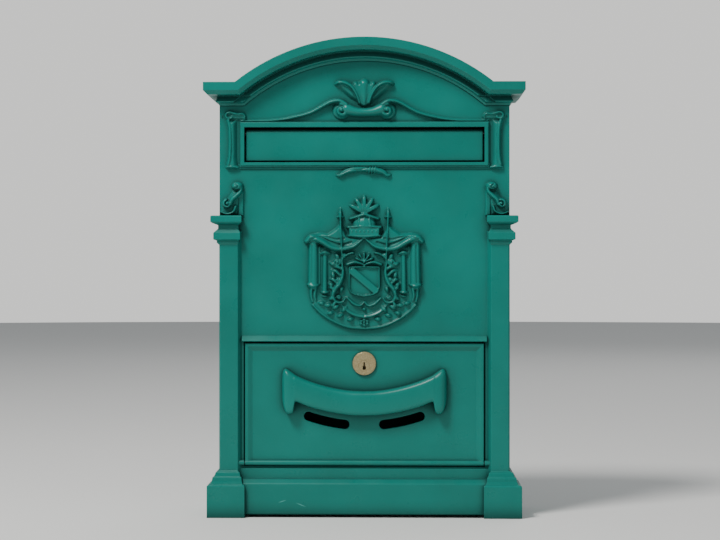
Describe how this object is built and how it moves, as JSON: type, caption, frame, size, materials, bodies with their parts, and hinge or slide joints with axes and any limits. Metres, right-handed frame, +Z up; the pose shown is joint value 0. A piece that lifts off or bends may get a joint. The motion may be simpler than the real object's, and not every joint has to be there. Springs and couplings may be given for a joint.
{
  "type": "wall mounted mailbox",
  "caption": "Arched cast letterbox for a wall, with a top-hinged mail flap, a bottom-hinged locking door with a finger-pull hood and viewing slots.",
  "frame": {"origin": "centre of the four wall screw holes on the back plate's wall face", "axes": "+X to the right seen from the front, +Y into the wall, +Z up"},
  "size_m": [0.2746, 0.092, 0.4103],
  "materials": {
    "enamel": "satin green enamel on cast aluminium",
    "sheet_enamel": "satin green enamel on sheet steel",
    "rivet_aluminium": "plain",
    "zinc_steel": "bright zinc plated",
    "pin_steel": "blackened",
    "bearing_casting": "as cast",
    "lock_brass": "worn, slightly dull"
  },
  "bodies": {
    "box": {"front_casting": "enamel", "roof_cornice": "enamel", "side_wrap": "sheet_enamel", "back_plate": "sheet_enamel", "back_rivets": "rivet_aluminium", "wrap_screws": "zinc_steel", "roof_side_screws": "zinc_steel", "roof_front_screws": "zinc_steel", "flap_bearing_left": "bearing_casting", "flap_bearing_right": "bearing_casting", "flap_bearing_screws": "zinc_steel", "door_pin_left": "pin_steel", "door_pin_right": "pin_steel"},
    "flap": {"mail_flap": "enamel", "flap_pin_left": "pin_steel", "flap_pin_right": "pin_steel"},
    "door_leaf": {"door": "enamel", "pull_hood": "enamel", "hood_screws": "zinc_steel", "lock_barrel": "lock_brass", "lock_nut": "lock_brass", "lock_washer": "zinc_steel"},
    "lock": {"lock_plug": "lock_brass", "lock_wafers": "lock_brass", "lock_cam": "zinc_steel", "cam_screw": "zinc_steel"}
  },
  "joints": [
    {"name": "flap_hinge", "type": "hinge", "parent": "box", "child": "flap", "pos_m": [0, -0.0745, 0.1292], "axis": [-1, 0, 0], "range_deg": [0, 95]},
    {"name": "door_hinge", "type": "hinge", "parent": "box", "child": "door_leaf", "pos_m": [0, -0.0785, -0.1536], "axis": [1, 0, 0], "range_deg": [0, 130]},
    {"name": "lock_turn", "type": "hinge", "parent": "door_leaf", "child": "lock", "pos_m": [0, -0.07, -0.0705], "axis": [0, 1, 0], "range_deg": [0, 90]}
  ]
}
